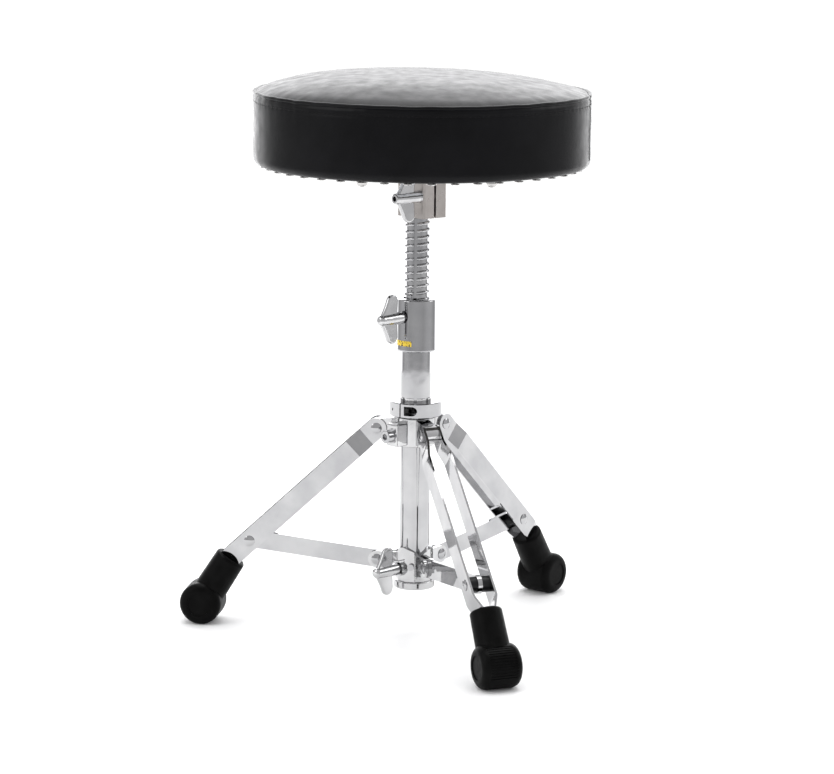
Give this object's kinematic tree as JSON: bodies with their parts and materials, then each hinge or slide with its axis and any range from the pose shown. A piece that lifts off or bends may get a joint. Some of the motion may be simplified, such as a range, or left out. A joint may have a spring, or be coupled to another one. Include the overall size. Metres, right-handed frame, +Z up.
{
  "type": "drum throne",
  "caption": "Round padded drum stool on a screw spindle, over a folding double-strap tripod with rubber feet and wing bolts.",
  "frame": {"origin": "on the floor, on the axis of the tube", "axes": "+Z up the tube; the right, front and left legs stand at 51.3, -68.7 and 171.3 degrees from +X"},
  "size_m": [0.4195, 0.4325, 0.577],
  "materials": {
    "leatherette": "satin black leatherette with a fine grain",
    "foam": "soft upholstery foam",
    "plywood": "plywood stained black",
    "tack_steel": "nickel-plated, domed",
    "zinc_steel": "zinc plated",
    "satin_metal": "satin nickel",
    "chrome": "mirror chrome",
    "chrome_casting": "chrome on a cast surface",
    "nylon": "natural nylon",
    "black_screw": "black oxide",
    "label_yellow": "printed sticker",
    "black_plastic": "moulded black plastic",
    "black_rubber": "matte black rubber"
  },
  "bodies": {
    "stand": {"main_tube": "chrome", "tube_end_plug": "black_plastic", "threaded_sleeve": "chrome", "sleeve_label": "label_yellow", "clamp_ring": "chrome", "clamp_ring_screw": "black_screw", "upper_hub": "chrome_casting", "hub_clamp_screw": "chrome", "hub_clamp_washer": "chrome"},
    "sleeve_bolt": {"sleeve_wing_bolt": "chrome_casting"},
    "collar": {"lower_collar": "chrome_casting", "collar_set_screws": "chrome", "front_collar_rivet": "chrome", "right_collar_rivet": "chrome", "left_collar_rivet": "chrome"},
    "collar_bolt": {"collar_wing_bolt": "chrome_casting"},
    "guide": {"spindle_guide": "nylon"},
    "spindle": {"spindle": "chrome", "spindle_guide_screw": "zinc_steel"},
    "seat": {"seat_top_panel": "leatherette", "seat_piping": "leatherette", "seat_side_band": "leatherette", "seat_foam": "foam", "seat_board": "plywood", "cover_tacks": "tack_steel", "board_screws": "tack_steel", "seat_plate": "zinc_steel", "plate_bolts": "zinc_steel", "plate_nuts": "zinc_steel", "seat_clamp_block": "satin_metal", "seat_clamp_washer": "chrome"},
    "seat_bolt": {"seat_wing_bolt": "chrome_casting"},
    "front_leg": {"front_leg_strap_a": "chrome", "front_leg_strap_b": "chrome", "front_hub_rivet": "chrome", "front_brace_rivet": "chrome", "front_brace_spacers": "black_plastic", "front_foot": "black_rubber"},
    "front_brace": {"front_brace": "chrome", "front_brace_bush": "chrome"},
    "right_leg": {"right_leg_strap_a": "chrome", "right_leg_strap_b": "chrome", "right_hub_rivet": "chrome", "right_brace_rivet": "chrome", "right_brace_spacers": "black_plastic", "right_foot": "black_rubber"},
    "right_brace": {"right_brace": "chrome", "right_brace_bush": "chrome"},
    "left_leg": {"left_leg_strap_a": "chrome", "left_leg_strap_b": "chrome", "left_hub_rivet": "chrome", "left_brace_rivet": "chrome", "left_brace_spacers": "black_plastic", "left_foot": "black_rubber"},
    "left_brace": {"left_brace": "chrome", "left_brace_bush": "chrome"}
  },
  "joints": [
    {"name": "collar_slide", "type": "slide", "parent": "stand", "child": "collar", "axis": [0, 0, 1], "range_m": [0, 0.09083]},
    {"name": "guide_lift", "type": "slide", "parent": "stand", "child": "guide", "axis": [0, 0, 1], "range_m": [-0.078, 0.063]},
    {"name": "spindle_turn", "type": "hinge", "parent": "guide", "child": "spindle", "pos_m": [0, 0, 0.4], "axis": [0, 0, 1], "range_deg": [-4012.43, 3241]},
    {"name": "seat_swivel", "type": "hinge", "parent": "spindle", "child": "seat", "pos_m": [0, 0, 0.45], "axis": [0, 0, 1], "continuous": true},
    {"name": "seat_wing_bolt_turn", "type": "hinge", "parent": "seat", "child": "seat_bolt", "pos_m": [0.01286, -0.01532, 0.454], "axis": [-0.766, -0.6428, 0], "range_deg": [-30, 720]},
    {"name": "sleeve_wing_bolt_turn", "type": "hinge", "parent": "stand", "child": "sleeve_bolt", "pos_m": [0, 0, 0.33], "axis": [-0.7071, -0.7071, 0], "range_deg": [-30, 720]},
    {"name": "collar_wing_bolt_turn", "type": "hinge", "parent": "collar", "child": "collar_bolt", "pos_m": [0, 0, 0.07], "axis": [-0.7071, -0.7071, 0], "range_deg": [-30, 720]},
    {"name": "front_leg_fold", "type": "hinge", "parent": "stand", "child": "front_leg", "pos_m": [0.01417, -0.03634, 0.2135], "axis": [0.9317, 0.3633, 0], "range_deg": [0, 43.3]},
    {"name": "front_brace_swing", "type": "hinge", "parent": "collar", "child": "front_brace", "pos_m": [0.0138, -0.0354, 0.0755], "axis": [0.9317, 0.3633, 0], "range_deg": [0, 91.22]},
    {"name": "right_leg_fold", "type": "hinge", "parent": "stand", "child": "right_leg", "pos_m": [0.02438, 0.03044, 0.2135], "axis": [-0.7804, 0.6252, 0], "range_deg": [0, 43.31]},
    {"name": "right_brace_swing", "type": "hinge", "parent": "collar", "child": "right_brace", "pos_m": [0.02376, 0.02966, 0.0755], "axis": [-0.7804, 0.6252, 0], "range_deg": [0, 91.22]},
    {"name": "left_leg_fold", "type": "hinge", "parent": "stand", "child": "left_leg", "pos_m": [-0.03855, 0.0059, 0.2135], "axis": [-0.1513, -0.9885, 0], "range_deg": [0, 43.31]},
    {"name": "left_brace_swing", "type": "hinge", "parent": "collar", "child": "left_brace", "pos_m": [-0.03756, 0.00575, 0.0755], "axis": [-0.1513, -0.9885, 0], "range_deg": [0, 91.22]}
  ],
  "couplings": [
    {"joint": "spindle_turn", "follows": "guide_lift", "rad_per_m": 897.6},
    {"joint": "collar_slide", "follows": "front_leg_fold", "m_per_rad": 0.12019},
    {"joint": "front_brace_swing", "follows": "front_leg_fold", "ratio": 2.1064},
    {"joint": "right_leg_fold", "follows": "front_leg_fold", "ratio": 1},
    {"joint": "right_brace_swing", "follows": "front_leg_fold", "ratio": 2.1064},
    {"joint": "left_leg_fold", "follows": "front_leg_fold", "ratio": 1},
    {"joint": "left_brace_swing", "follows": "front_leg_fold", "ratio": 2.1064}
  ]
}
